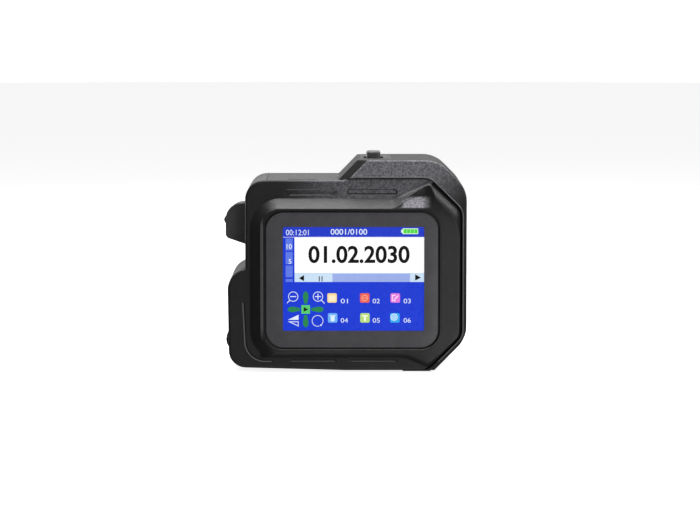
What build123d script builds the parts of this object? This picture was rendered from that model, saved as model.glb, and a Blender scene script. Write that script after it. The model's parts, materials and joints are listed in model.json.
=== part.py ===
"""Palm-held date code inkjet printer, as an assembly of separate pieces.

Frame: +Z up, the screen faces -Y, the print face is the left side (-X) and the palm grip the right side
(+X). The origin is at the middle of the base. Every size is in millimetres.
"""

import math
import os

from build123d import *

# Driving dimensions -------------------------------------------------------------------------------
CONTACT_X = -60.0  # plane that the rollers share with the surface being printed
GRIP_X = 60.0  # outside of the grip
RIM_Y, FLANGE_Y, SEAM_Y, BACK_Y = -38.0, -33.0, 0.0, 38.0
CREST_Y = RIM_Y + 0.7  # top of the screen surround, just under the rim
HOOD_FRONT_Y, HOOD_BACK_Y = -34.0, 36.0
RAMP_CHAMFER, HOOD_EDGE_R = 4.0, 0.7
WALL = 2.0
BODY_TOP, HOOD_TOP, BUTTON_TOP = 94.5, 104.2, 107.5
SHELL_TOP = 95.6  # top of the shells where the hood covers them
SIDE_X = 57.8  # right side of the shells
LEFT_X, UPPER_LEFT_X = -57.7, -49.0
BASE_LEFT_Z, BASE_Z = 2.05, 0.55  # the underside drops from left to middle
BULGE_R, BULGE_Z = 10.5, 40.4
SKIN = 1.0  # how far bosses and pads sink into a wall

RIM = dict(x=(-41.2, 47.4), z=(10.4, 80.8), radius=10.5)
RECESS = dict(x=(-40.0, 46.7), z=(11.5, 79.9), radius=9.6)
LENS = dict(x=(-38.7, 45.8), z=(12.4, 79.0), radius=8.6)
LCD = dict(x=(-34.2, 42.8), z=(11.9, 75.8), radius=0.8)
SCREEN = dict(x=(-30.8, 39.4), z=(19.5, 72.1), radius=0.3)
RECESS_FLOOR_Y = -36.4
LCD_FRONT_Y, LCD_BACK_Y = -35.9, -32.8

DOOR_X, DOOR_Y = (-38.5, -3.5), (-31.0, 30.8)
DOOR_AXIS = (32.5, 92.8)  # Y and Z of the hinge line
KNUCKLE_R, HINGE_PIN_R = 1.5, 0.75

BUTTON_X, BUTTON_Y = (10.8, 17.8), (-8.0, 6.0)
BUTTON_GAP, WELL = 0.3, 1.4  # clearance round the button, and the sunk well round it
PLATE_X, PLATE_Y, PLATE_GAP = (7.6, 23.2), (-12.0, 30.0), 0.1
POWER_XZ, POWER_R = (38.0, 80.0), 4.2

NOSE_Y, NOSE_TOP, NOSE_DRAFT = 17.0, 82.4, 1.2  # the draft lowers its top towards the back
SNOUT_Z = (63.4, 79.6)  # opening in the shells behind the nose
NOSE_ROLLER_R, NOSE_ROLLER_Z = 2.2, 73.9
NOSE_ROLLER_X = CONTACT_X + NOSE_ROLLER_R
LOWER_ROLLER_R, LOWER_ROLLER_Z, LOWER_ROLLER_Y = 4.0, 12.0, (25.2, 30.8)
SYNC_R, SYNC_Z, SYNC_Y = 7.0, 12.0, (6.2, 11.8)
AXLE_R, SHAFT_R, RUNNING = 0.8, 1.0, 0.05
LATCH_PIVOT = (-3.8, 70.0)
PORT_Y, PORT_Z = (-31.5, -19.2), (55.6, 66.3)
PORT_AXIS, PORT_PIN_R, PORT_PIN_REACH = (59.1, -18.8), 0.35, 2.3

SHELL_SCREWS = [(-44.0, 6.8), (51.0, 24.0), (51.0, 74.0), (-43.5, 88.5)]
DISPLAY_SCREWS = [(-37.0, 22.0), (45.2, 22.0), (-37.0, 68.0), (45.2, 68.0)]
BOARD_SCREWS = [(-34.0, 12.0), (41.0, 12.0), (-34.0, 53.0), (41.0, 51.0)]
SCREW_R, POST_R = 1.3, 3.2

os.makedirs("parts", exist_ok=True)


# Helpers ------------------------------------------------------------------------------------------
def facing(y):
    """Sketch plane at depth y: sketch x is +X, sketch y is +Z, and it extrudes towards the screen (-Y)."""
    return Plane.XZ.offset(-y)


def middle(span):
    return (span[0] + span[1]) / 2


def length(span):
    return abs(span[1] - span[0])


def wider(span, margin):
    return (span[0] - margin, span[1] + margin)


def panel(x, z, radius, grow=0.0):
    """Rounded rectangle between the sides x and z, optionally grown on every side."""
    with BuildSketch() as shape:
        with Locations((middle(x), middle(z))):
            RectangleRounded(length(x) + 2 * grow, length(z) + 2 * grow, radius + grow)
    return shape.sketch


def loop(points, radii):
    """Closed face through points, with one corner radius each."""
    with BuildSketch() as shape:
        with BuildLine():
            FilletPolyline(*points, radius=radii, close=True)
        make_face()
    return shape.sketch


def block(x, y, z, mode=Mode.ADD):
    """Box between the low and high side along each axis."""
    with Locations((middle(x), middle(y), middle(z))):
        Box(length(x), length(y), length(z), mode=mode)


def rod_x(y, z, radius, x, mode=Mode.ADD):
    with Locations(Location((middle(x), y, z), (0, 90, 0))):
        Cylinder(radius, length(x), mode=mode)


def rod_y(x, z, radius, y, mode=Mode.ADD):
    with Locations(Location((x, middle(y), z), (90, 0, 0))):
        Cylinder(radius, length(y), mode=mode)


def rod_z(x, y, radius, z, mode=Mode.ADD):
    with Locations((x, y, middle(z))):
        Cylinder(radius, length(z), mode=mode)


def prism(face, y, mode=Mode.ADD):
    """Extrude a front-view face between two depths."""
    with BuildSketch(facing(max(y))) as section:
        add(face)
    extrude(section.sketch, amount=length(y), mode=mode)


def save(piece, name):
    piece.part.label = name
    export_step(piece.part, f"parts/{name}.step")


# Outlines seen from the front ---------------------------------------------------------------------
def shell_outline(inset=0.0):
    """Both shells: bulged lower left, set-back upper left, sloping right corners."""
    bulge_x = LEFT_X + BULGE_R
    top_z = BULGE_Z + math.sqrt(BULGE_R**2 - (UPPER_LEFT_X - bulge_x) ** 2)
    halfway = math.radians(40)
    mid = (bulge_x - BULGE_R * math.cos(halfway), BULGE_Z + BULGE_R * math.sin(halfway))
    with BuildSketch() as shape:
        with BuildLine():
            ThreePointArc((LEFT_X, BULGE_Z), mid, (UPPER_LEFT_X, top_z))
            FilletPolyline(
                (UPPER_LEFT_X, top_z),
                (UPPER_LEFT_X, BODY_TOP),
                (-1.0, BODY_TOP),
                (3.0, SHELL_TOP),
                (41.9, SHELL_TOP),
                (SIDE_X, 79.8),
                (SIDE_X, 17.4),
                (40.95, BASE_Z),
                (0.0, BASE_Z),
                (LEFT_X + 0.6, BASE_LEFT_Z),
                (LEFT_X, BULGE_Z),
                radius=[9.5, 0, 0, 8, 8, 8, 8, 0, 8.5],
            )
        make_face()
        if inset:
            offset(amount=-inset)
    return shape.sketch


def hood_outline():
    """Outside of the hood, from its ramp over the right side to the lower right slope."""
    ramp = [(-3.2, BODY_TOP), (6.3, HOOD_TOP)]
    grip = [(45.9, HOOD_TOP), (GRIP_X, 90.1), (GRIP_X, 16.5), (44.3, 0.8)]
    return loop([*ramp, *grip, (20.0, 0.8), (-3.2, 60.0)], [0, 0, 15, 15, 15, 0, 0, 0])


def surround_base():
    """Foot of the screen surround, with its pointed ear at the upper right."""
    ear = [(-46.6, 85.6), (22.0, 85.6), (40.9, 94.7), (57.2, 79.5)]
    hip = [(57.2, 17.7), (41.4, 2.0), (30.0, 6.9), (-46.6, 6.9)]
    return loop([*ear, *hip], [14, 25, 1.5, 7.5, 7.5, 7.5, 15, 14])


def surround_crest():
    """Top of the screen surround."""
    ear = [(-41.3, 80.9), (26.5, 80.9), (40.7, 90.6), (53.0, 78.0)]
    hip = [(53.0, 19.6), (40.8, 7.2), (33.0, 10.3), (-41.3, 10.3)]
    return loop([*ear, *hip], [10.5, 12, 2, 7, 7, 7, 8, 10.5])


def nose_outline(top, inset=0.0):
    """Hump on the print face that holds the snout of the cartridge."""
    points = [(UPPER_LEFT_X, top), (-59.2, top), (-59.2, 65.2), (UPPER_LEFT_X, 61.7)]
    with BuildSketch() as shape:
        add(loop(points, [0, 8.2, 2.5, 0]))
        if inset:
            offset(amount=-inset)
    return shape.sketch


# Front shell --------------------------------------------------------------------------------------
def cut_door_opening():
    gap = 0.2
    block((DOOR_X[0] - gap, DOOR_X[1] + gap), (DOOR_Y[0] - gap, 34.9), (90.0, 96.0), mode=Mode.SUBTRACT)


def cut_snout_opening():
    block((-52.0, -45.0), (-15.5, 15.5), SNOUT_Z, mode=Mode.SUBTRACT)


PANEL_SLOTS = [(-29.2, -4.6), (1.1, 26.0)]
BASE_GROOVES = [(-27.0, -4.3), (2.6, 25.5)]
SLOT_Z, GROOVE_Z, GROOVE_WIDTH = 89.4, 5.4, 0.9

with BuildPart() as front_shell:
    prism(shell_outline(), (SEAM_Y, FLANGE_Y))
    fillet(front_shell.faces().sort_by(Axis.Y)[0].edges(), 1.2)
    with BuildSketch(facing(FLANGE_Y + 0.3)):
        add(surround_base())
    with BuildSketch(facing(CREST_Y)):
        add(surround_crest())
    loft(ruled=True)
    prism(panel(**RIM), (FLANGE_Y, RIM_Y))
    prism(panel(**RECESS), (RECESS_FLOOR_Y, RIM_Y - SKIN), mode=Mode.SUBTRACT)
    prism(panel(**LCD, grow=0.3), (LCD_FRONT_Y, FLANGE_Y + WALL), mode=Mode.SUBTRACT)
    prism(panel(**SCREEN, grow=2.2), (LCD_FRONT_Y, RECESS_FLOOR_Y - SKIN), mode=Mode.SUBTRACT)
    prism(shell_outline(WALL), (SEAM_Y, FLANGE_Y + WALL), mode=Mode.SUBTRACT)
    for x, z in SHELL_SCREWS:
        rod_y(x, z, POST_R, (FLANGE_Y + WALL - SKIN, SEAM_Y))
        rod_y(x, z, SCREW_R, (-12.0, SEAM_Y + SKIN), mode=Mode.SUBTRACT)
    for x, z in DISPLAY_SCREWS:
        rod_y(x, z, 1.0, (-34.6, -30.0), mode=Mode.SUBTRACT)
    with BuildSketch(facing(FLANGE_Y + 0.7)):
        for span in PANEL_SLOTS:
            with Locations((middle(span), SLOT_Z)):
                SlotOverall(length(span), 3.0)
    extrude(amount=2.0, mode=Mode.SUBTRACT)
    with BuildSketch(facing(FLANGE_Y + 0.5)):
        for span in BASE_GROOVES:
            with Locations((middle(span), GROOVE_Z)):
                SlotOverall(length(span), GROOVE_WIDTH)
        with BuildLine():
            FilletPolyline((-50.0, 34.0), (-48.6, GROOVE_Z), (-36.0, GROOVE_Z), radius=9.5)
        trace(line_width=GROOVE_WIDTH)
    extrude(amount=2.0, mode=Mode.SUBTRACT)
    cut_door_opening()
    cut_snout_opening()
    block((54.0, 59.0), (-26.75, -22.85), (56.1, 65.8), mode=Mode.SUBTRACT)
save(front_shell, "front_shell")

# Rear shell ---------------------------------------------------------------------------------------
VENT_COUNT, VENT_PITCH = 6, 4.0

with BuildPart() as rear_shell:
    prism(shell_outline(), (BACK_Y, SEAM_Y))
    fillet(rear_shell.faces().sort_by(Axis.Y)[-1].edges(), 4.0)
    prism(shell_outline(WALL), (BACK_Y - WALL, SEAM_Y), mode=Mode.SUBTRACT)
    for x, z in SHELL_SCREWS:
        rod_y(x, z, POST_R, (SEAM_Y, BACK_Y - WALL + SKIN))
        rod_y(x, z, SCREW_R + 0.2, (SEAM_Y - SKIN, BACK_Y + SKIN), mode=Mode.SUBTRACT)
        rod_y(x, z, 2.6, (BACK_Y - 3.2, BACK_Y + SKIN), mode=Mode.SUBTRACT)
    cut_door_opening()
    cut_snout_opening()
    # Knuckle pin seats in the side walls of the door opening
    for x in ((DOOR_X[0] - 3.0, DOOR_X[0] - 0.2), (DOOR_X[1] + 0.2, DOOR_X[1] + 3.0)):
        block(x, (DOOR_AXIS[0] - 2.5, 34.9), (90.5, BODY_TOP - 0.4))
    rod_x(*DOOR_AXIS, HINGE_PIN_R, (DOOR_X[0] - 2.0, DOOR_X[1] + 2.0), mode=Mode.SUBTRACT)
    # Wells for the two lower wheels
    block((-60.0, -50.0), (5.6, 12.4), (4.4, 19.6), mode=Mode.SUBTRACT)
    for y in ((22.6, 24.4), (31.6, 33.4)):
        block((-57.0, -52.5), y, (9.0, 15.0))
    block((-60.0, -50.0), (24.6, 31.4), (7.4, 16.6), mode=Mode.SUBTRACT)
    rod_y(CONTACT_X + LOWER_ROLLER_R, LOWER_ROLLER_Z, AXLE_R, (22.8, 33.2), mode=Mode.SUBTRACT)
    # Power button, status light and vents in the back wall
    rod_y(*POWER_XZ, POWER_R + 0.2, (30.0, BACK_Y + SKIN), mode=Mode.SUBTRACT)
    rod_y(POWER_XZ[0] - 10.0, POWER_XZ[1], 1.2, (30.0, BACK_Y + SKIN), mode=Mode.SUBTRACT)
    with BuildSketch(facing(BACK_Y + SKIN)):
        with Locations((24.0, 58.0)):
            with GridLocations(VENT_PITCH, 0, VENT_COUNT, 1):
                SlotOverall(14.0, 1.6, rotation=90)
    extrude(amount=4.0, mode=Mode.SUBTRACT)
save(rear_shell, "rear_shell")

# Grip hood ----------------------------------------------------------------------------------------
with BuildPart() as grip_hood:
    prism(hood_outline(), (HOOD_FRONT_Y, HOOD_BACK_Y))
    ramp = grip_hood.edges().filter_by(GeomType.LINE).filter_by(lambda e: abs(e.tangent_at(0).Y) < 0.01)
    ramp = ramp.filter_by(lambda e: e.center().X < 6.0 and e.center().Z > BODY_TOP)
    chamfer(ramp, RAMP_CHAMFER)
    for face in (grip_hood.faces().sort_by(Axis.Y)[0], grip_hood.faces().sort_by(Axis.Y)[-1]):
        fillet(face.edges().filter_by(lambda e: e.center().X > 20.0 and e.center().Z > 1.0), HOOD_EDGE_R)
    prism(shell_outline(), (HOOD_FRONT_Y - SKIN, HOOD_BACK_Y + SKIN), mode=Mode.SUBTRACT)
    cavity = [(1.6, SHELL_TOP), (8.2, 102.2), (42.6, 102.2), (56.0, 88.8), (56.0, 81.6), (41.9, SHELL_TOP)]
    prism(loop(cavity, [0] * len(cavity)), (HOOD_FRONT_Y + WALL, HOOD_BACK_Y - WALL), mode=Mode.SUBTRACT)
    block(wider(PLATE_X, PLATE_GAP), wider(PLATE_Y, PLATE_GAP), (98.0, 106.0), mode=Mode.SUBTRACT)
    block((57.0, 61.0), (PORT_Y[0] - 0.3, -17.7), wider(PORT_Z, 0.3), mode=Mode.SUBTRACT)
    rod_z(*PORT_AXIS, PORT_PIN_R, wider(PORT_Z, PORT_PIN_REACH), mode=Mode.SUBTRACT)
save(grip_hood, "grip_hood")

with BuildPart() as button_plate:
    block(PLATE_X, PLATE_Y, (HOOD_TOP - WALL, HOOD_TOP))
    block(wider(BUTTON_X, BUTTON_GAP), wider(BUTTON_Y, BUTTON_GAP), (101.0, 105.0), mode=Mode.SUBTRACT)
    block(wider(BUTTON_X, WELL), wider(BUTTON_Y, WELL), (103.4, 105.0), mode=Mode.SUBTRACT)
save(button_plate, "button_plate")

with BuildPart() as nose_cover:
    with BuildSketch(facing(-NOSE_Y)):
        add(nose_outline(NOSE_TOP))
    with BuildSketch(facing(NOSE_Y)):
        add(nose_outline(NOSE_TOP - NOSE_DRAFT))
    loft()
    fillet(nose_cover.faces().sort_by(Axis.Y)[0].edges().sort_by(Axis.X)[:-1], 0.6)
    with BuildSketch(facing(1.5 - NOSE_Y)):
        add(nose_outline(NOSE_TOP, 1.4))
    with BuildSketch(facing(NOSE_Y - 1.5)):
        add(nose_outline(NOSE_TOP - NOSE_DRAFT, 1.4))
    loft(mode=Mode.SUBTRACT)
    block((-51.5, -48.0), (1.5 - NOSE_Y, NOSE_Y - 1.5), SNOUT_Z, mode=Mode.SUBTRACT)
    block((-60.0, -55.5), (-9.6, 9.6), (66.2, 77.2), mode=Mode.SUBTRACT)
    for side in (-1, 1):
        block((-58.4, -53.0), (side * 10.0, side * 11.0), (70.5, 76.0))
        block((-60.0, -54.0), (side * 11.2, side * 15.5), (71.0, 76.6), mode=Mode.SUBTRACT)
        rod_y(NOSE_ROLLER_X, NOSE_ROLLER_Z, AXLE_R, (side * 9.5, side * 16.4), mode=Mode.SUBTRACT)
save(nose_cover, "nose_cover")

# Door over the cartridge --------------------------------------------------------------------------
with BuildPart() as cartridge_door:
    block(DOOR_X, DOOR_Y, (BODY_TOP - WALL, BODY_TOP))
    fillet(cartridge_door.edges().filter_by(Axis.Z), 0.8)
    block((DOOR_X[0] + 0.4, DOOR_X[1] - 0.4), (DOOR_Y[1] - SKIN, DOOR_AXIS[0]), (DOOR_AXIS[1] - 0.3, 94.2))
    rod_x(*DOOR_AXIS, KNUCKLE_R, (DOOR_X[0] + 0.4, DOOR_X[1] - 0.4))
    rod_x(*DOOR_AXIS, HINGE_PIN_R + RUNNING, (DOOR_X[0] - SKIN, DOOR_X[1] + SKIN), mode=Mode.SUBTRACT)
    for x in ((-36.5, -35.1), (-6.9, -5.5)):
        block(x, (DOOR_Y[0] + 2.0, DOOR_Y[1] - 4.0), (90.9, BODY_TOP - WALL))
    block((-26.0, -16.0), (DOOR_Y[0] + 1.0, DOOR_Y[0] + 2.4), (89.6, BODY_TOP - WALL))
    with BuildSketch(Plane.XY.offset(BODY_TOP - 0.6)):
        with Locations((middle(DOOR_X), DOOR_Y[0] + 6.0)):
            with GridLocations(0, 2.2, 1, 3):
                SlotOverall(14.0, 0.9)
    extrude(amount=SKIN, mode=Mode.SUBTRACT)
save(cartridge_door, "cartridge_door")

with BuildPart() as door_hinge_pin:
    rod_x(*DOOR_AXIS, HINGE_PIN_R, (DOOR_X[0] - 2.0, DOOR_X[1] + 2.0))
save(door_hinge_pin, "door_hinge_pin")

# Screen -------------------------------------------------------------------------------------------
with BuildPart() as display_lens:
    prism(panel(**LENS), (RECESS_FLOOR_Y - 0.3, RIM_Y + 0.3))
    fillet(display_lens.faces().sort_by(Axis.Y)[0].edges(), 0.4)
save(display_lens, "display_lens")

with BuildPart() as lens_gasket:
    prism(panel(**LENS, grow=-0.4), (RECESS_FLOOR_Y, RECESS_FLOOR_Y - 0.3))
    prism(panel(**SCREEN, grow=3.2), (RECESS_FLOOR_Y + SKIN, RECESS_FLOOR_Y - SKIN), mode=Mode.SUBTRACT)
save(lens_gasket, "lens_gasket")

with BuildPart() as lcd_panel:
    prism(panel(**LCD), (LCD_BACK_Y, LCD_FRONT_Y))
    prism(panel(**SCREEN), (LCD_FRONT_Y, LCD_FRONT_Y - 0.3))
save(lcd_panel, "lcd_panel")

with BuildPart() as lcd_frame:
    prism(panel((-39.4, 47.2), (11.6, 78.4), 3.0), (-29.6, FLANGE_Y + WALL))
    prism(panel(**LCD), (FLANGE_Y + WALL, LCD_BACK_Y))
    prism(panel((-28.0, 36.6), (18.0, 69.6), 2.0), (-28.0, LCD_BACK_Y - SKIN), mode=Mode.SUBTRACT)
    for x, z in BOARD_SCREWS:
        rod_y(x, z, 2.4, (-28.0, -31.0))
        rod_y(x, z, 1.0, (-27.0, -31.8), mode=Mode.SUBTRACT)
    for x, z in DISPLAY_SCREWS:
        rod_y(x, z, 1.1, (-28.0, -32.0), mode=Mode.SUBTRACT)
save(lcd_frame, "lcd_frame")

with BuildPart() as lcd_ribbon:
    with BuildSketch(Plane.YZ.offset(-8.0)):
        with BuildLine():
            points = [(LCD_BACK_Y + 0.1, 23), (LCD_BACK_Y + 0.1, 33), (-28.1, 37), (-28.1, 45)]
            FilletPolyline(*points, radius=1.5)
        trace(line_width=0.2)
    extrude(amount=20.0)
save(lcd_ribbon, "lcd_ribbon")

with BuildPart() as display_screws:
    for x, z in DISPLAY_SCREWS:
        rod_y(x, z, 1.0, (-29.6, -34.4))
        rod_y(x, z, 1.9, (-28.5, -29.6))
save(display_screws, "display_screws")

# Electronics --------------------------------------------------------------------------------------
BOARD_Y = (-28.0, -26.4)
BOARD_BACK = BOARD_Y[1]

with BuildPart() as main_board:
    corners = [(-38, 8), (46, 8), (46, 54), (54.5, 54), (54.5, 68), (8, 68), (8, 57), (-38, 57)]
    prism(loop(corners, [2] * len(corners)), BOARD_Y)
    for x, z in BOARD_SCREWS:
        rod_y(x, z, 1.1, (BOARD_Y[0] - SKIN, BOARD_Y[1] + SKIN), mode=Mode.SUBTRACT)
save(main_board, "main_board")

CHIPS = [((-10, 6), (24, 40), 1.6), ((16, 27), (16, 27), 1.4), ((-28, -21), (16, 23), 3.0)]
CHIPS += [((-28, -21), (27, 34), 3.0), ((-30, -12), (50, 54.5), 4.0), ((14, 22), (60, 65), 2.2)]
CHIPS += [((30, 37), (60, 64), 1.5), ((10, 13), (44, 48), 1.2)]
with BuildPart() as board_components:
    for x, z, height in CHIPS:
        block(x, (BOARD_BACK, BOARD_BACK + height), z)
    for x in (-4, 3, 10):
        rod_y(x, 17, 2.4, (BOARD_BACK, BOARD_BACK + 3.8))
save(board_components, "board_components")

with BuildPart() as board_screws:
    for x, z in BOARD_SCREWS:
        rod_y(x, z, 1.0, (BOARD_BACK, -30.8))
        rod_y(x, z, 1.9, (BOARD_BACK, BOARD_BACK + 1.3))
save(board_screws, "board_screws")

with BuildPart() as charging_socket:
    with BuildSketch(Plane.YZ.offset(47.5)):
        with Locations((BOARD_BACK + 1.6, middle(PORT_Z))):
            SlotOverall(8.9, 3.2, rotation=90)
    extrude(amount=9.3)
    with BuildSketch(Plane.YZ.offset(49.0)):
        with Locations((BOARD_BACK + 1.6, middle(PORT_Z))):
            SlotOverall(8.3, 2.6, rotation=90)
            SlotOverall(6.6, 0.7, rotation=90, mode=Mode.SUBTRACT)
    extrude(amount=9.0, mode=Mode.SUBTRACT)
save(charging_socket, "charging_socket")

with BuildPart() as buzzer:
    rod_y(30, 42, 6.0, (BOARD_BACK, BOARD_BACK + 4.5))
    rod_y(30, 42, 1.0, (BOARD_BACK + 3.5, BOARD_BACK + 5.5), mode=Mode.SUBTRACT)
save(buzzer, "buzzer")

REAR_BOARD_Y = (22.0, 23.6)
with BuildPart() as rear_board:
    block((14, 46), REAR_BOARD_Y, (62, 88))
    fillet(rear_board.edges().filter_by(Axis.Y), 2.0)
save(rear_board, "rear_board")

with BuildPart() as power_switch:
    block((POWER_XZ[0] - 3, POWER_XZ[0] + 3), (REAR_BOARD_Y[1], 27.0), (POWER_XZ[1] - 3, POWER_XZ[1] + 3))
    rod_y(*POWER_XZ, 1.7, (27.0, 28.6))
save(power_switch, "power_switch")

with BuildPart() as power_button:
    rod_y(*POWER_XZ, POWER_R, (33.0, BACK_Y - 0.2))
    fillet(power_button.edges().sort_by(Axis.Y)[-1], 0.5)
    rod_y(*POWER_XZ, POWER_R + 1.0, (33.0, 34.4))
    rod_y(*POWER_XZ, 1.5, (29.9, 33.0))
save(power_button, "power_button")

with BuildPart() as status_light:
    rod_y(POWER_XZ[0] - 10.0, POWER_XZ[1], 1.2, (REAR_BOARD_Y[1], BACK_Y - 0.1))
save(status_light, "status_light")

CELL_R, CELL_X, CELL_Y, CELL_Z = 9.2, (-28.5, 36.0), 22.0, (14.2, 33.4)
for name, z in zip(("lower", "upper"), CELL_Z):
    with BuildPart() as cell:
        rod_x(CELL_Y, z, CELL_R, CELL_X)
        fillet(cell.edges(), 0.6)
        rod_x(CELL_Y, z, 3.2, (CELL_X[1], CELL_X[1] + 1.2))
    save(cell, f"battery_cell_{name}")

TRAY_FLOOR_Z = (3.7, 4.9)
with BuildPart() as battery_tray:
    block((-30.5, 39.0), (11.5, 32.5), TRAY_FLOOR_Z)
    for x in ((-30.5, -28.7), (37.4, 39.0)):
        block(x, (11.5, 32.5), (TRAY_FLOOR_Z[0], 42.0))
    block((-30.5, 39.0), (32.5, 34.0), (TRAY_FLOOR_Z[0], 42.0))
save(battery_tray, "battery_tray")

# Print engine -------------------------------------------------------------------------------------
CARTRIDGE_X, CARTRIDGE_Y, CARTRIDGE_Z = (-46.6, -8.6), (-25.9, 34.2), (61.4, 83.2)
CARRIAGE_Y = (-27.8, 35.8)

with BuildPart() as cartridge_carriage:
    block((-46.8, -6.6), CARRIAGE_Y, (59.4, 61.2))
    for y in ((CARRIAGE_Y[0], -26.3), (34.5, CARRIAGE_Y[1])):
        block((-46.8, -6.6), y, (59.4, 82.0))
    block((-8.2, -6.6), CARRIAGE_Y, (59.4, 74.0))
    for y in ((-10.9, -9.4), (9.4, 10.9)):
        block((-8.2, -1.6), y, (66.0, 73.4))
    rod_y(*LATCH_PIVOT, SHAFT_R, (-11.5, 11.5), mode=Mode.SUBTRACT)
    block((-46.2, -33.8), (-8.2, 8.2), (58.0, 62.0), mode=Mode.SUBTRACT)
save(cartridge_carriage, "cartridge_carriage")

with BuildPart() as ink_cartridge:
    block(CARTRIDGE_X, CARTRIDGE_Y, CARTRIDGE_Z)
    fillet(ink_cartridge.edges(), 1.2)
    block((-58.5, CARTRIDGE_X[0] + SKIN), (-9.3, 9.3), (66.6, 76.8))
    block((-54.6, CARTRIDGE_X[0] + SKIN), (-9.3, 9.3), (66.0, 77.6))
    block((-38.0, -16.0), (2.0, 26.0), (82.8, 84.0), mode=Mode.SUBTRACT)
save(ink_cartridge, "ink_cartridge")

with BuildPart() as nozzle_plate:
    block((-58.8, -58.5), (-6.5, 6.5), (67.0, 76.4))
save(nozzle_plate, "nozzle_plate")

with BuildPart() as contact_block:
    block((-46.0, -34.0), (-8.0, 8.0), (57.0, 60.6))
    with Locations((-40.0, 0, 61.0)):
        with GridLocations(3.0, 2.6, 3, 5):
            Cylinder(0.5, 0.8)
save(contact_block, "contact_block")

with BuildPart() as cartridge_latch:
    rod_y(*LATCH_PIVOT, 2.3, (-9.0, 9.0))
    block((-5.3, -2.7), (-9.0, 9.0), (LATCH_PIVOT[1], 86.0))
    block((-11.5, -2.7), (-9.0, 9.0), (83.7, 86.0))
    fillet(cartridge_latch.edges().filter_by(Axis.Y).group_by(Axis.Z)[-1], 0.8)
    rod_y(*LATCH_PIVOT, SHAFT_R + RUNNING, (-10.0, 10.0), mode=Mode.SUBTRACT)
    for z in (76.0, 79.0):
        block((-3.1, -2.0), (-6.0, 6.0), (z, z + 1.2), mode=Mode.SUBTRACT)
save(cartridge_latch, "cartridge_latch")

with BuildPart() as latch_pin:
    rod_y(*LATCH_PIVOT, SHAFT_R, (-10.9, 10.9))
save(latch_pin, "latch_pin")


# Rollers and sync wheel ---------------------------------------------------------------------------
def roller(x, z, radius, y, bore):
    """Plain roller with rounded rims, bored for its axle."""
    with BuildPart() as wheel:
        rod_y(x, z, radius, y)
        fillet(wheel.edges(), 0.35)
        rod_y(x, z, bore, (y[0] - SKIN, y[1] + SKIN), mode=Mode.SUBTRACT)
    return wheel


for name, side in (("front", -1), ("rear", 1)):
    span = sorted((side * 11.5, side * 15.2))
    save(roller(NOSE_ROLLER_X, NOSE_ROLLER_Z, NOSE_ROLLER_R, span, AXLE_R + RUNNING), f"nose_roller_{name}")
    with BuildPart() as axle:
        rod_y(NOSE_ROLLER_X, NOSE_ROLLER_Z, AXLE_R, (side * 9.5, side * 16.4))
    save(axle, f"nose_axle_{name}")

LOWER_ROLLER_X = CONTACT_X + LOWER_ROLLER_R
lower_roller = roller(LOWER_ROLLER_X, LOWER_ROLLER_Z, LOWER_ROLLER_R, LOWER_ROLLER_Y, AXLE_R + RUNNING)
save(lower_roller, "lower_roller")
with BuildPart() as lower_axle:
    rod_y(LOWER_ROLLER_X, LOWER_ROLLER_Z, AXLE_R, (22.8, 33.2))
save(lower_axle, "lower_axle")

SYNC_X = CONTACT_X + SYNC_R
TYRE = 1.1
with BuildPart() as sync_wheel:
    rod_y(SYNC_X, SYNC_Z, SYNC_R - TYRE, SYNC_Y)
    rod_y(SYNC_X, SYNC_Z, SHAFT_R, (SYNC_Y[0] - SKIN, SYNC_Y[1] + SKIN), mode=Mode.SUBTRACT)
    for y in ((SYNC_Y[0] - SKIN, SYNC_Y[0] + 1.2), (SYNC_Y[1] - 1.2, SYNC_Y[1] + SKIN)):
        with BuildSketch(facing(y[1])):
            with Locations((SYNC_X, SYNC_Z)):
                with PolarLocations(3.6, 6):
                    Circle(1.0)
        extrude(amount=length(y), mode=Mode.SUBTRACT)
save(sync_wheel, "sync_wheel")

with BuildPart() as sync_tyre:
    rod_y(SYNC_X, SYNC_Z, SYNC_R, SYNC_Y)
    fillet(sync_tyre.edges(), 0.5)
    rod_y(SYNC_X, SYNC_Z, SYNC_R - TYRE, (SYNC_Y[0] - SKIN, SYNC_Y[1] + SKIN), mode=Mode.SUBTRACT)
save(sync_tyre, "sync_tyre")

with BuildPart() as sync_shaft:
    rod_y(SYNC_X, SYNC_Z, SHAFT_R, (2.6, 15.6))
save(sync_shaft, "sync_shaft")

with BuildPart() as encoder_magnet:
    rod_y(SYNC_X, SYNC_Z, 2.0, (15.6, 17.4))
save(encoder_magnet, "encoder_magnet")

with BuildPart() as sync_bracket:
    block((-45.6, -43.9), (3.4, 14.8), (10.6, 20.0))
    for y in ((3.4, 5.0), (13.2, 14.8)):
        block((-55.2, -44.0), y, (10.6, 14.2))
        rod_y(SYNC_X, SYNC_Z, 2.2, y)
    rod_y(SYNC_X, SYNC_Z, SHAFT_R + RUNNING, (2.0, 16.0), mode=Mode.SUBTRACT)
save(sync_bracket, "sync_bracket")

with BuildPart() as encoder_sensor:
    block((-55.0, -48.5), (18.9, 20.0), (8.6, 18.0))
    block((-54.6, -51.4), (18.0, 18.9), (10.4, 13.6))
save(encoder_sensor, "encoder_sensor")

# Print button -------------------------------------------------------------------------------------
BUTTON_CENTRE = (middle(BUTTON_X), middle(BUTTON_Y))

with BuildPart() as print_button:
    block(BUTTON_X, BUTTON_Y, (101.0, BUTTON_TOP))
    fillet(print_button.edges().filter_by(Axis.Z), 2.2)
    fillet(print_button.faces().sort_by(Axis.Z)[-1].edges(), 1.0)
    with Locations(Location((*BUTTON_CENTRE, BUTTON_TOP + 9.3), (0, 90, 0))):
        Cylinder(10.0, 12.0, mode=Mode.SUBTRACT)
    block(wider(BUTTON_X, 0.9), wider(BUTTON_Y, 0.9), (100.4, 101.8))
    rod_z(*BUTTON_CENTRE, 1.6, (98.3, 100.4))
save(print_button, "print_button")

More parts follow.
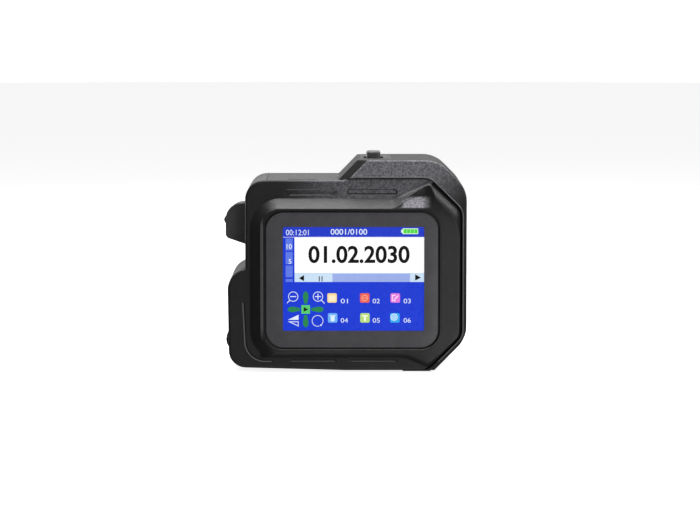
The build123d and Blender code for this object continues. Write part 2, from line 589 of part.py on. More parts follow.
with BuildPart() as button_board:
    block((5.0, 25.0), (-12.0, 12.0), (95.8, 96.8))
    fillet(button_board.edges().filter_by(Axis.Z), 1.5)
save(button_board, "button_board")

with BuildPart() as button_dome:
    with Locations((*BUTTON_CENTRE, middle((96.8, 98.3)))):
        Cone(4.0, 2.0, 1.5)
save(button_dome, "button_dome")

# Port cover ---------------------------------------------------------------------------------------
with BuildPart() as port_cover:
    block((58.3, 59.9), (PORT_Y[0], PORT_AXIS[1]), PORT_Z)
    fillet(port_cover.edges().filter_by(Axis.X), 0.6)
    rod_z(*PORT_AXIS, 0.8, PORT_Z)
    rod_z(*PORT_AXIS, PORT_PIN_R + RUNNING, wider(PORT_Z, SKIN), mode=Mode.SUBTRACT)
    block((57.4, 58.3), (-26.0, -23.6), (57.2, 64.7))
save(port_cover, "port_cover")

with BuildPart() as port_hinge_pin:
    rod_z(*PORT_AXIS, PORT_PIN_R, wider(PORT_Z, PORT_PIN_REACH))
save(port_hinge_pin, "port_hinge_pin")

# Feet and screws ----------------------------------------------------------------------------------
FEET = [((28.5, 42.4), (-31.0, -21.0)), ((28.5, 42.4), (22.0, 32.0))]
FEET += [((-46.0, -34.0), (-16.0, -7.0)), ((-46.0, -34.0), (22.0, 31.0))]

with BuildPart() as rubber_feet:
    for x, y in FEET:
        with BuildSketch(facing(y[1])):
            add(panel(x, (0.0, 3.0), 0.4))
            add(shell_outline(), mode=Mode.SUBTRACT)
            add(hood_outline(), mode=Mode.SUBTRACT)
        extrude(amount=length(y))
save(rubber_feet, "rubber_feet")

with BuildPart() as shell_screws:
    for x, z in SHELL_SCREWS:
        rod_y(x, z, SCREW_R, (-10.0, BACK_Y - 3.2))
        rod_y(x, z, 2.5, (BACK_Y - 3.2, BACK_Y - 1.6))
        rod_y(x, z, 1.0, (BACK_Y - 2.4, BACK_Y - 1.0), mode=Mode.SUBTRACT)
save(shell_screws, "shell_screws")
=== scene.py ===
"""Looks of the palm-held date code inkjet printer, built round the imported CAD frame.

Frame: metres, +Z up, screen at -Y, print face at -X. The constants below are in millimetres.
"""

import json
import math

import bmesh
import bpy
import numpy as np
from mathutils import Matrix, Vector


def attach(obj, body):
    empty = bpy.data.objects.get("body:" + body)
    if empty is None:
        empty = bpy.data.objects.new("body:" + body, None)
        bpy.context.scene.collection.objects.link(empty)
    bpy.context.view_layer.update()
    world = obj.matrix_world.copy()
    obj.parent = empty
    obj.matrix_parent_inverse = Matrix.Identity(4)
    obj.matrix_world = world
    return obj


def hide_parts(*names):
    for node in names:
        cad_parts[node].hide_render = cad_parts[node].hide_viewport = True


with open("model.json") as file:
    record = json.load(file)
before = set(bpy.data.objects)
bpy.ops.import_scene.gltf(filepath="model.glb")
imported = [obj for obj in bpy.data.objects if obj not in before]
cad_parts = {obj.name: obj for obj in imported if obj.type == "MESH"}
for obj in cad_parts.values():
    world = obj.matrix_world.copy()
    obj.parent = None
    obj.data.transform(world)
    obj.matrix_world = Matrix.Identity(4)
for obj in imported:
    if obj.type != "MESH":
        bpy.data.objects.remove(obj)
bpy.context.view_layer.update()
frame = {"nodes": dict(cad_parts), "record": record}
MM = 0.001
ROOT = "housing"

# Front shell, from the seam with the rear shell to the rim round the screen
FLANGE_Y, RIM_Y, FLOOR_Y, SEAM_Y = -33.0, -38.0, -36.4, 0.0
LEDGE_Y = -35.9  # back of the floor that the lens lies on
HOOD_FRONT_Y = -34.0
RISE = FLANGE_Y - RIM_Y  # height of the screen rim over the flange
WALL = 2.0
EDGE_RADIUS = 1.2
HOOD_GAP = 0.25  # how far the shell draws back from the hood
SIDE_X, BODY_TOP, SHELL_TOP, BASE_Z = 57.8, 94.5, 95.6, 0.55
LEFT_X, UPPER_LEFT_X, BULGE_Z, BULGE_R = -57.7, -49.0, 40.4, 10.5
DOOR_CUT = ((-38.7, -3.3), (-31.2, 10.0), (90.0, 97.0))
SNOUT_CUT = ((-53.0, -45.0), (-15.5, 10.0), (63.4, 79.6))
PORT_CUT = ((54.0, 60.0), (-26.75, -22.85), (56.1, 65.8))

# Rounded rectangles round the screen, from the surround's rim inwards
RIM = dict(x=(-41.2, 47.4), z=(10.4, 80.8), radius=10.5)
RECESS = dict(x=(-40.0, 46.7), z=(11.5, 79.9), radius=9.6)
LENS = dict(x=(-38.7, 45.8), z=(12.4, 79.0), radius=8.6)
LCD = dict(x=(-34.2, 42.8), z=(11.9, 75.8), radius=0.8)
SCREEN = dict(x=(-30.8, 39.4), z=(19.5, 72.1), radius=0.3)
VIEW = dict(x=(-30.3, 38.95), z=(20.65, 71.75), radius=0.3)  # opening of the lens border over the picture
PICTURE_SCALE = 0.974  # the printed border overlaps the lit area, and the picture fills what is left
LENS_BACK, LENS_FRONT, LENS_EDGE = -36.7, -37.7, 0.4
PICTURE_Y, LAYER_STEP, LAYER_THICKNESS = -36.2, 0.035, 0.03

# Grooves in the flange
TOP_SLOTS, SLOT_Z, SLOT_RADIUS = ((-29.2, -4.6), (1.1, 26.0)), 88.6, 1.4
LOW_GROOVES = ((-27.0, -4.3), (2.6, 25.5))
BEND_X, BEND_Z, BEND_RADIUS = -39.4, 14.9, 9.5  # curved groove round the lower left corner
STEM_TOP_Z, FOOT_END_X = 34.0, -36.0
STEM_LEAN, STEM_SHIFT = 0.05, 0.95  # how far the stem leans to the left per millimetre, and at its top

AROUND, ACROSS = 760, 84  # points round the shell's outline, and from the outline to the rim
CORNER_STEPS = 14


# Plane geometry -----------------------------------------------------------------------------------
def rounded_path(points, radii):
    """Closed path through points with one corner radius each, as a dense list of points."""
    path = []
    count = len(points)
    for i, radius in enumerate(radii):
        before, corner, after = (np.array(points[(i + k) % count], float) for k in (-1, 0, 1))
        if radius == 0:
            path.append(corner)
            continue
        to_before, to_after = before - corner, after - corner
        to_before /= np.linalg.norm(to_before)
        to_after /= np.linalg.norm(to_after)
        half = math.acos(np.clip(to_before @ to_after, -1, 1)) / 2
        bisector = (to_before + to_after) / np.linalg.norm(to_before + to_after)
        centre = corner + bisector * radius / math.sin(half)
        start = corner + to_before * radius / math.tan(half) - centre
        end = corner + to_after * radius / math.tan(half) - centre
        sweep = math.atan2(start[0] * end[1] - start[1] * end[0], start @ end)
        for angle in np.linspace(0, sweep, CORNER_STEPS):
            cos, sin = math.cos(angle), math.sin(angle)
            path.append(centre + (start[0] * cos - start[1] * sin, start[0] * sin + start[1] * cos))
    return np.array(path)


def resample(path, count):
    """Count points spaced evenly along a closed path."""
    closed = np.vstack([path, path[:1]])
    steps = np.linalg.norm(np.diff(closed, axis=0), axis=1)
    along = np.concatenate([[0], np.cumsum(steps)])
    wanted = np.linspace(0, along[-1], count, endpoint=False)
    return np.stack([np.interp(wanted, along, closed[:, k]) for k in (0, 1)], axis=1)


def inward(path, amount):
    """Path moved inwards along its own normals. The path runs clockwise seen from the screen side."""
    tangent = np.roll(path, -1, 0) - np.roll(path, 1, 0)
    tangent /= np.linalg.norm(tangent, axis=1)[:, None]
    normal = np.stack([tangent[:, 1], -tangent[:, 0]], 1)
    return path + normal * np.reshape(amount, (-1, 1))


def panel_corners(x, z, radius, grow=0.0):
    """Corners and corner radii of a rectangle, clockwise from the upper left."""
    low_x, high_x, low_z, high_z = x[0] - grow, x[1] + grow, z[0] - grow, z[1] + grow
    return [(low_x, high_z), (high_x, high_z), (high_x, low_z), (low_x, low_z)], [radius + grow] * 4


def rounded_distance(x, z, box):
    """Signed distance to a rounded rectangle, and the direction it grows in."""
    centre = [sum(box[k]) / 2 for k in "xz"]
    half = [abs(box[k][1] - box[k][0]) / 2 - box["radius"] for k in "xz"]
    across, up = x - centre[0], z - centre[1]
    over_x, over_z = np.abs(across) - half[0], np.abs(up) - half[1]
    outside = np.hypot(np.maximum(over_x, 0), np.maximum(over_z, 0))
    distance = outside + np.minimum(np.maximum(over_x, over_z), 0) - box["radius"]
    heading = np.arctan2(np.maximum(over_z, 0) * np.sign(up), np.maximum(over_x, 0) * np.sign(across))
    return distance, np.degrees(heading)


def line_distance(x, z, start, end):
    """Distance to the right of the line from start to end."""
    run = np.subtract(end, start) / math.dist(start, end)
    return (x - start[0]) * run[1] - (z - start[1]) * run[0]


def arc(centre, radius, turns):
    """Points of a circle at the given turns, in radians."""
    return [(centre[0] + radius * math.cos(a), centre[1] + radius * math.sin(a)) for a in turns]


def smooth_min(a, b, k):
    """Smaller of two values, with the corner between them rounded over a width of about k."""
    mix = np.clip(0.5 + 0.5 * (b - a) / k, 0, 1)
    return b * (1 - mix) + a * mix - k * mix * (1 - mix)


def smooth_max(a, b, k):
    return -smooth_min(-a, -b, k)


def ease(value, low, high):
    """0 up to low, 1 from high on, and a smooth step between them."""
    t = np.clip((value - low) / (high - low), 0, 1)
    return t * t * (3 - 2 * t)


def shell_path():
    """Outline of the front shell, clockwise from the bulge on its left side."""
    centre_x = LEFT_X + BULGE_R
    top_z = BULGE_Z + math.sqrt(BULGE_R**2 - (UPPER_LEFT_X - centre_x) ** 2)
    end = math.atan2(top_z - BULGE_Z, UPPER_LEFT_X - centre_x)
    bulge = arc((centre_x, BULGE_Z), BULGE_R, np.linspace(math.pi, end, 24))
    points = bulge + [
        (UPPER_LEFT_X, BODY_TOP),
        (-1.0, BODY_TOP),
        (3.0, SHELL_TOP),
        (41.9, SHELL_TOP),
        (SIDE_X, 79.8),
        (SIDE_X, 17.4),
        (40.95, BASE_Z),
        (0.0, BASE_Z),
        (LEFT_X + 0.6, 2.05),
    ]
    return rounded_path(points, [0] * len(bulge) + [9.5, 0, 0, 8, 8, 8, 8, 0, 8.5])


# Height of the screen surround over the flange ----------------------------------------------------
EAR = ((22.4, 85.2), (41.2, 93.8))  # upper edge of the pointed ear
SHOULDER = ((40.9, 94.7), (57.2, 79.5))  # sloping edge at the upper right
HIP = ((57.2, 17.7), (41.4, 2.0))  # sloping edge at the lower right
KEEL = ((41.4, 2.0), (30.0, 6.9))  # edge that climbs from the hip to the bottom roll
RIGHT_EDGE_X, TOP_EDGE_Z, BOTTOM_EDGE_Z = 57.2, 85.6, 6.9
EAR_FLOOR = 1.25  # height of the face inside the ear, beside the rim
UPPER_Z, RAISED_FROM_X = 60.0, 16  # the ear and shoulder are above this level, to the right of this X
FAR_BELOW = -9.0
SHOULDER_CREST = 4.7
RIM_CORNER_X, RIM_CORNER_Z = 37.0, 70.4  # middle of the rim's upper right corner
MIDDLE_X, MIDDLE_Z = 3.1, 45.6


def rim_slope_height(x, z):
    """Slope from the rim down to the flange: steep at the left and top, nearly level elsewhere."""
    outside, heading = rounded_distance(x, z, RIM)
    turns = [-180, -135, -100, 20, 45, 66, 80, 89, 91, 180]
    slope = np.interp(heading, turns, [0.93, 0.93, 0.08, 0.06, 0.08, 0.22, 0.55, 0.64, 1, 0.93])
    top_slope = 1.0 - 0.36 * ease(x, 20.0, 30.0)
    slope = np.where(np.abs(heading - 90) < 1, top_slope, slope)
    return RISE - slope * outside


def ear_heights(x, z):
    """Distance in from the ear's upper edge, and the height of the face that falls away inside its crest."""
    ear_run = np.subtract(EAR[1], EAR[0]) / math.dist(*EAR)
    along = (x - EAR[0][0]) * ear_run[0] + (z - EAR[0][1]) * ear_run[1]
    from_ear = smooth_max(TOP_EDGE_Z - z, line_distance(x, z, *EAR), 0.8)
    crest = np.interp(along, [-2, 3, 5.6, 9.5, 12.8, 16.6, 20.5], [4.8, 4.6, 3.6, 2.6, 2.1, 1.4, 0.2])
    return from_ear, smooth_max(crest - 1.5 * (from_ear - crest), EAR_FLOOR, 0.3)


def edge_roll_height(x, z, from_shoulder):
    """Rounded roll that the surround's right and lower edges climb in."""
    from_bottom = smooth_max(z - BOTTOM_EDGE_Z, line_distance(x, z, *KEEL), 1.5)
    upper = smooth_min(from_shoulder, RIGHT_EDGE_X - x, 3.0)
    lower = smooth_min(line_distance(x, z, *HIP), from_bottom, 2.5)
    edge = smooth_min(upper, lower, 2.0)
    facing = np.degrees(np.arctan2(z - MIDDLE_Z, x - MIDDLE_X))
    width = np.interp(facing, [-140, -55, -46, -40, 22, 34, 180], [3.5, 5.2, 3.2, 1.6, 1.1, 4.2, 4.2])
    power = np.interp(facing, [-60, -40, 22, 34], [1.8, 2.0, 2.0, 1.35])
    crest = np.interp(facing, [-60, -40, 22, 34], [RISE, 4.6, 4.5, SHOULDER_CREST])
    run = np.clip(1 - edge / width, 0, 1)
    return crest * (1 - run**power) ** (1 / power) + np.maximum(edge - width, 0) * 1.5


def surround_height(x, z):
    """Height over the flange: the rim's slope, raised by the ear and shoulder, inside the edges' roll."""
    from_ear, ear_fall = ear_heights(x, z)
    from_shoulder = line_distance(x, z, *SHOULDER)
    shoulder_fall = SHOULDER_CREST - 0.26 * (from_shoulder - 4.2)
    turn = np.degrees(np.arctan2(z - RIM_CORNER_Z, x - RIM_CORNER_X))
    is_ear = np.where(turn < -60, 1.0, ease(turn, 62.0, 84.0))
    raised = shoulder_fall * (1 - is_ear) + ear_fall * is_ear
    raised = np.where((x > RAISED_FROM_X) & (z > UPPER_Z), raised, FAR_BELOW)
    height = smooth_max(rim_slope_height(x, z), raised, 0.3 + 0.9 * ease(x, 35.0, 43.0))
    height = np.where(z > UPPER_Z, smooth_min(height, from_ear, 0.25), height)
    height = smooth_min(height, edge_roll_height(x, z, from_shoulder), 0.3)
    return smooth_max(height, np.zeros_like(height), 0.12) - groove_depth(x, z)


def capsule_distance(x, z, span, level, radius):
    """Signed distance to a level bar with round ends."""
    nearest = np.clip(x, span[0] + radius, span[1] - radius)
    return np.hypot(x - nearest, z - level) - radius


def groove_depth(x, z):
    """Recessed slots above the screen, thin grooves below it and the curved groove at the lower left."""
    depth = np.zeros_like(x)
    for span in TOP_SLOTS:
        depth += 0.9 * (1 - ease(capsule_distance(x, z, span, SLOT_Z, SLOT_RADIUS), -0.35, 0.1))
    for start, end in LOW_GROOVES:
        half = (end - start) / 2
        within = 1 - ease(np.abs(x - (start + end) / 2), half - 0.5, half)
        depth += 0.6 * within * ease(z, 4.6, 5.7) * (1 - ease(z, 5.8, 6.0))
    corner = np.abs(np.hypot(x - BEND_X, z - BEND_Z) - BEND_RADIUS)
    stem_x = BEND_X - BEND_RADIUS - (z - BEND_Z) * STEM_LEAN
    stem = np.hypot(x - stem_x, np.maximum(z - STEM_TOP_Z, 0))
    foot = np.hypot(z - (BEND_Z - BEND_RADIUS), np.maximum(x - FOOT_END_X, 0))
    trace = np.where((x < BEND_X) & (z < BEND_Z), corner, np.where(z >= BEND_Z, stem, foot))
    return depth + 0.4 * (1 - ease(trace, 0.1, 0.5))


# Mesh helpers -------------------------------------------------------------------------------------
def new_object(name, verts, faces):
    """Mesh object from points in millimetres."""
    mesh = bpy.data.meshes.new(name)
    mesh.from_pydata([tuple(np.asarray(v) * MM) for v in verts], [], faces)
    mesh.update()
    obj = bpy.data.objects.new(name, mesh)
    bpy.context.collection.objects.link(obj)
    return obj


def finish_mesh(obj, crease=32):
    """Merge doubled points, turn the faces outwards and shade smooth up to the crease angle."""
    work = bmesh.new()
    work.from_mesh(obj.data)
    bmesh.ops.remove_doubles(work, verts=work.verts, dist=1e-6)
    bmesh.ops.dissolve_degenerate(work, edges=work.edges, dist=1e-6)
    bmesh.ops.recalc_face_normals(work, faces=work.faces)
    work.to_mesh(obj.data)
    work.free()
    for polygon in obj.data.polygons:
        polygon.use_smooth = True
    obj.data.set_sharp_from_angle(angle=math.radians(crease))


def ring_faces(low, high, count):
    """Quads between two closed loops of points that start at the given numbers."""
    return [(low + i, low + (i + 1) % count, high + (i + 1) % count, high + i) for i in range(count)]


def bridge(loops):
    """Skin over closed loops of equal length, with the last joined back to the first."""
    count = len(loops[0])
    verts, faces = np.vstack(loops), []
    for k in range(len(loops)):
        low, high = k * count, ((k + 1) % len(loops)) * count
        faces += ring_faces(low, high, count)
    return verts, faces


def with_depth(path, y):
    """Points of a path in the XZ plane, at one depth or at one each."""
    return np.stack([path[:, 0], np.broadcast_to(y, len(path)), path[:, 1]], axis=1)


def ray_points(outer, box, grow=0.0):
    """Where the line from the rim's middle to each outer point crosses a rounded rectangle."""
    path = rounded_path(*panel_corners(**box, grow=grow))
    dense = resample(path, 6000)
    centre = np.array([sum(RIM[k]) / 2 for k in "xz"])
    angle = np.arctan2(*(dense - centre).T[::-1])
    order = np.argsort(angle)
    wanted = np.arctan2(*(outer - centre).T[::-1])
    crossing = [np.interp(wanted, angle[order], dense[order, k], period=2 * math.pi) for k in (0, 1)]
    return np.stack(crossing, axis=1)


def box_mesh(name, x, y, z):
    verts = [(a, b, c) for a in x for b in y for c in z]
    faces = [(0, 1, 3, 2), (4, 6, 7, 5), (0, 4, 5, 1), (2, 3, 7, 6), (0, 2, 6, 4), (1, 5, 7, 3)]
    obj = new_object(name, verts, faces)
    finish_mesh(obj)
    return obj


def cut(target, *cutters):
    """Take the cutters' shapes out of the target and remove them."""
    for cutter in cutters:
        modifier = target.modifiers.new("cut", "BOOLEAN")
        modifier.operation = "DIFFERENCE"
        modifier.solver = "EXACT"
        modifier.object = cutter
    graph = bpy.context.evaluated_depsgraph_get()
    mesh = bpy.data.meshes.new_from_object(target.evaluated_get(graph))
    target.modifiers.clear()
    target.data = mesh
    for cutter in cutters:
        bpy.data.objects.remove(cutter)


def make_front_shell():
    """Front shell as one skin, from the seam over the outside, in at the screen opening and back inside."""
    outline = resample(shell_path(), AROUND)
    beside_hood = (outline[:, 0] > 41.0) | ((outline[:, 0] > 4.0) & (outline[:, 1] > 80))
    outer = inward(outline, np.where(beside_hood, HOOD_GAP, 0.0))
    loops = [with_depth(outer, SEAM_Y)]
    for angle in np.linspace(0, math.pi / 2, 6)[:-1]:
        step = inward(outer, EDGE_RADIUS * (1 - math.cos(angle)))
        loops.append(with_depth(step, FLANGE_Y + EDGE_RADIUS * (1 - math.sin(angle))))
    front = inward(outer, EDGE_RADIUS)
    rim = ray_points(outer, RIM)
    for t in np.linspace(0, 1, ACROSS):
        path = front * (1 - t) + rim * t
        loops.append(with_depth(path, FLANGE_Y - surround_height(path[:, 0], path[:, 1])))
    loops[-1][:, 1] = RIM_Y + 0.12
    for box, grow, depth in (
        (RIM, -0.2, RIM_Y),
        (RECESS, 0.2, RIM_Y),
        (RECESS, 0.0, RIM_Y + 0.2),
        (RECESS, 0.0, FLOOR_Y),
        (SCREEN, 2.2, FLOOR_Y),
        (SCREEN, 2.2, LEDGE_Y),
        (LCD, 0.3, LEDGE_Y),
        (LCD, 0.3, FLANGE_Y + WALL),
    ):
        loops.append(with_depth(ray_points(outer, box, grow), depth))
    inside = inward(outline, WALL)
    loops += [with_depth(inside, FLANGE_Y + WALL), with_depth(inside, SEAM_Y)]
    shell = new_object("front_shell_sculpted", *bridge(loops))
    finish_mesh(shell)
    openings = {"door_cut": DOOR_CUT, "snout_cut": SNOUT_CUT, "port_cut": PORT_CUT}
    cut(shell, *[box_mesh(name, *spans) for name, spans in openings.items()])
    finish_mesh(shell)
    dress(shell, "abs_black", MATERIALS["abs_shell"], "front_shell")


# Materials ----------------------------------------------------------------------------------------
def colour_ramp(tree, colour, spread, ends, lift=0.0):
    """Ramp from a darker to a lighter shade of one colour."""
    ramp = tree.nodes.new("ShaderNodeValToRGB")
    dark, light = ramp.color_ramp.elements
    dark.color = (*[c * (1 - spread) for c in colour], 1)
    light.color = (*[c * (1 + spread) + lift for c in colour], 1)
    dark.position, light.position = ends
    return ramp


MOTTLE, SPARK_SIZE = 6.0, 0.9  # size of the faint blotches of colour, and of the coarse texture's grains
FINE_SHARE, BLOTCH_SHARE = 0.45, 0.55  # how much the fine grain and the blotches each tint a surface


def moulded(name, colour, rough, grain=0.5, grain_size=0.35, spread=0.12, metal=0.0, specular=0.5, coat=0.0):
    """Moulded or finished surface: fine grain, faint blotches of colour, and patches of gloss."""
    material = bpy.data.materials.new(name)
    material.use_nodes = True
    tree = material.node_tree
    shader = tree.nodes["Principled BSDF"]
    shader.inputs["Metallic"].default_value = metal
    shader.inputs["Specular IOR Level"].default_value = specular
    shader.inputs["Coat Weight"].default_value = coat
    shader.inputs["Coat Roughness"].default_value = 0.12
    place = tree.nodes.new("ShaderNodeTexCoord").outputs["Object"]

    def noise(size, detail, rough_noise=0.5):
        node = tree.nodes.new("ShaderNodeTexNoise")
        node.inputs["Scale"].default_value = 1 / (size * MM)
        node.inputs["Detail"].default_value = detail
        node.inputs["Roughness"].default_value = rough_noise
        tree.links.new(place, node.inputs["Vector"])
        return node.outputs["Fac"]

    blotch, fine, scuff = noise(MOTTLE, 3), noise(grain_size, 2), noise(2.2, 8, 0.7)
    tint = colour_ramp(tree, colour, spread, (0.35, 0.65), lift=0.002)
    blend = tree.nodes.new("ShaderNodeMath")
    blend.operation = "MULTIPLY_ADD"
    blend.inputs[1].default_value = FINE_SHARE
    tree.links.new(fine, blend.inputs[0])
    blotches = tree.nodes.new("ShaderNodeMath")
    blotches.operation = "MULTIPLY"
    blotches.inputs[1].default_value = BLOTCH_SHARE
    tree.links.new(blotch, blotches.inputs[0])
    tree.links.new(blotches.outputs[0], blend.inputs[2])
    tree.links.new(blend.outputs[0], tint.inputs["Fac"])
    tree.links.new(tint.outputs["Color"], shader.inputs["Base Color"])
    polish = tree.nodes.new("ShaderNodeMapRange")
    polish.inputs["From Min"].default_value, polish.inputs["From Max"].default_value = 0.3, 0.7
    polish.inputs["To Min"].default_value = rough - 0.07
    polish.inputs["To Max"].default_value = rough + 0.06
    tree.links.new(scuff, polish.inputs["Value"])
    tree.links.new(polish.outputs["Result"], shader.inputs["Roughness"])
    bump = tree.nodes.new("ShaderNodeBump")
    bump.inputs["Strength"].default_value = grain
    bump.inputs["Distance"].default_value = 0.05 * MM
    tree.links.new(fine, bump.inputs["Height"])
    tree.links.new(bump.outputs["Normal"], shader.inputs["Normal"])
    return material


def texture_and_painted_light_zones(material, zones, colour, rough, grain=0.9, spread=0.5):
    """Coarse spark-eroded texture, painted highlights and painted shade inside soft-edged zones.

    Each zone is a list of (direction, where it starts, where it is full) in millimetres along that direction.
    """
    tree = material.node_tree
    shader = tree.nodes["Principled BSDF"]
    place = tree.nodes.new("ShaderNodeTexCoord").outputs["Object"]

    def combine(operation, a, b):
        node = tree.nodes.new("ShaderNodeMath")
        node.operation = operation
        node.use_clamp = True
        tree.links.new(a, node.inputs[0])
        tree.links.new(b, node.inputs[1])
        return node.outputs[0]

    mask = None
    for zone in zones:
        inside = None
        for direction, start, full in zone:
            along = tree.nodes.new("ShaderNodeVectorMath")
            along.operation = "DOT_PRODUCT"
            along.inputs[1].default_value = direction
            tree.links.new(place, along.inputs[0])
            edge = tree.nodes.new("ShaderNodeMapRange")
            edge.interpolation_type = "SMOOTHSTEP"
            edge.inputs["From Min"].default_value = start * MM
            edge.inputs["From Max"].default_value = full * MM
            tree.links.new(along.outputs["Value"], edge.inputs["Value"])
            share = edge.outputs["Result"]
            inside = share if inside is None else combine("MULTIPLY", inside, share)
        mask = inside if mask is None else combine("ADD", mask, inside)

    grains = tree.nodes.new("ShaderNodeTexNoise")
    grains.inputs["Scale"].default_value = 1 / (SPARK_SIZE * MM)
    grains.inputs["Detail"].default_value = 3
    grains.inputs["Roughness"].default_value = 0.65
    tree.links.new(place, grains.inputs["Vector"])
    speck = colour_ramp(tree, colour, spread, (0.36, 0.64))
    tree.links.new(grains.outputs["Fac"], speck.inputs["Fac"])
    bump = tree.nodes.new("ShaderNodeBump")
    bump.inputs["Strength"].default_value = grain
    bump.inputs["Distance"].default_value = 0.06 * MM
    tree.links.new(grains.outputs["Fac"], bump.inputs["Height"])

    def mix_in(name, kind, fresh=None):
        """Put the fresh value over what the shader's input had, as far as the mask says."""
        socket = shader.inputs[name]
        mix = tree.nodes.new("ShaderNodeMix")
        mix.data_type = kind
        live = {i.name: i for i in mix.inputs if i.enabled}
        tree.links.new(mask, live["Factor"])
        tree.links.new(socket.links[0].from_socket, live["A"])
        if fresh is None:
            live["B"].default_value = rough
        else:
            tree.links.new(fresh, live["B"])
        tree.links.new([o for o in mix.outputs if o.enabled][0], socket)

    mix_in("Base Color", "RGBA", speck.outputs["Color"])
    mix_in("Roughness", "FLOAT")
    mix_in("Normal", "VECTOR", bump.outputs["Normal"])


def lit(name, colour, strength=1.0):
    """Lit patch of the screen: even colour with the faint unevenness of a backlight."""
    material = moulded(name, [c * 0.25 for c in colour], 0.3, grain=0.05)
    shader = material.node_tree.nodes["Principled BSDF"]
    tree = material.node_tree
    uneven = tree.nodes.new("ShaderNodeTexNoise")
    uneven.inputs["Scale"].default_value = 40
    place = tree.nodes.new("ShaderNodeTexCoord").outputs["Object"]
    tree.links.new(place, uneven.inputs["Vector"])
    level = tree.nodes.new("ShaderNodeMapRange")
    level.inputs["To Min"].default_value = 0.92 * strength
    level.inputs["To Max"].default_value = 1.04 * strength
    tree.links.new(uneven.outputs["Fac"], level.inputs["Value"])
    tree.links.new(level.outputs["Result"], shader.inputs["Emission Strength"])
    shader.inputs["Emission Color"].default_value = (*colour, 1)
    return material


MATERIALS = {
    "abs_black": moulded("abs_black", (0.018, 0.018, 0.019), 0.46, grain=0.55, grain_size=0.45),
    "abs_shell": moulded("abs_shell", (0.017, 0.017, 0.018), 0.42, grain=0.45, grain_size=0.45),
    "abs_panel": moulded("abs_panel", (0.026, 0.026, 0.028), 0.5, grain=0.5),
    "lens": moulded("lens", (0.12, 0.115, 0.127), 0.34, grain=0.05, specular=0.4),
    "screen": lit("screen", (0.01, 0.043, 0.67)),
    "foam": moulded("foam", (0.012, 0.012, 0.012), 0.9, grain=1.0, grain_size=0.5),
    "board": moulded("board", (0.012, 0.11, 0.04), 0.35, grain=0.2, spread=0.2, coat=0.3),
    "chip": moulded("chip", (0.02, 0.02, 0.021), 0.6),
    "ribbon": moulded("ribbon", (0.42, 0.2, 0.04), 0.35, spread=0.2),
    "steel": moulded("steel", (0.56, 0.56, 0.58), 0.28, grain=0.25, metal=1.0),
    "black_steel": moulded("black_steel", (0.035, 0.035, 0.04), 0.4, metal=0.7),
    "brass": moulded("brass", (0.75, 0.55, 0.22), 0.3, grain=0.2, metal=1.0),
    "cell_wrap": moulded("cell_wrap", (0.03, 0.16, 0.5), 0.25, grain=0.1),
    "tray": moulded("tray", (0.09, 0.09, 0.1), 0.55),
    "ink": moulded("ink", (0.014, 0.014, 0.016), 0.3, grain=0.15),
    "rubber": moulded("rubber", (0.014, 0.014, 0.014), 0.75, grain=0.8, grain_size=0.6),
    "silicone": moulded("silicone", (0.45, 0.45, 0.46), 0.55),
    "light": moulded("light", (0.2, 0.6, 0.25), 0.25, grain=0.1),
    "button": moulded("button", (0.026, 0.026, 0.028), 0.42, grain=0.35),
    # Looks that don't follow the record's slots, for single pieces
    # Painted light: the print button's colour is lightened to stand in for light it does not get
    "abs_button_painted_light": moulded("abs_button_painted_light", (0.17, 0.17, 0.174), 0.42, grain=0.35),
    # Painted highlight: light colour for the hood's seam lip and the curved groove's edge strip
    "abs_lip_highlight": moulded("abs_lip_highlight", (0.22, 0.22, 0.226), 0.4, grain=0.2),
    # Painted light: the nose cover's colour is lightened to stand in for light where it lies in the shell's
    # shadow
    "abs_nose_painted_light": moulded("abs_nose_painted_light", (0.1, 0.1, 0.103), 0.6),
    "abs_hood": moulded("abs_hood", (0.012, 0.012, 0.0125), 0.58, grain=0.55, grain_size=0.45),
}
OWN_LOOK = {"grip_hood": "abs_hood", "nose_cover": "abs_nose_painted_light", "print_button": "abs_button_painted_light"}
WINDOW = moulded("lens_clear", (0.01, 0.01, 0.012), 0.12, grain=0.0)
WINDOW.node_tree.nodes["Principled BSDF"].inputs["Alpha"].default_value = 0.05

# Zones of coarser texture, of painted highlights along edges and of painted shade along edges, in the order
# in which they lie over each other
ALONG_X, ALONG_Y, ALONG_Z = (1, 0, 0), (0, 1, 0), (0, 0, 1)
ABOVE_EAR, DOWN_RIGHT = (-0.42, 0, 0.9075), (0.707, 0, -0.707)
ON_FLANGE = (ALONG_Y, -30, -31)


def band(x, z, soft_x, soft_z):
    """Zone between two X and two Z values on the flange, with soft edges inside them."""
    sides = [(ALONG_X, x[0], x[0] + soft_x), (ALONG_X, x[1], x[1] - soft_x)]
    return [(ALONG_Z, z[0], z[0] + soft_z), (ALONG_Z, z[1], z[1] - soft_z), *sides, ON_FLANGE]


# Textured flange above the screen, fading in from the left: partly real texture and partly painted light, its
# light colour standing in for the light the texture catches
FLANGE_ZONE = [(ALONG_X, -34, 8), (ALONG_Z, 85.3, 85.9), (ABOVE_EAR, 67.9, 68.1)]
# Textured patch beside the ear: partly real texture and partly painted light, its light colour standing in
# for the light on the upward-facing surface
PATCH_ZONE = [
    (ALONG_X, 27, 30),
    (ALONG_X, 43, 37),
    (ALONG_Z, 80.8, 81.6),
    (ALONG_Z, 87.0, 85.8),
    (ABOVE_EAR, 65.2, 64.6),
]
# Painted highlight: light strip on the steep facet along the ear's upper edge
EAR_FACET_HIGHLIGHT = [(ALONG_X, 24, 30), (ABOVE_EAR, 66.3, 66.7), (ABOVE_EAR, 67.95, 67.8), (ALONG_Z, 85.4, 86.2)]
# Textured front of the hood: partly real texture and partly painted light, its light colour standing in for
# the light the texture catches, fading out towards the lower right
HOOD_ZONE = [(ALONG_Y, -33.2, -33.6), (DOWN_RIGHT, -16, -42)]
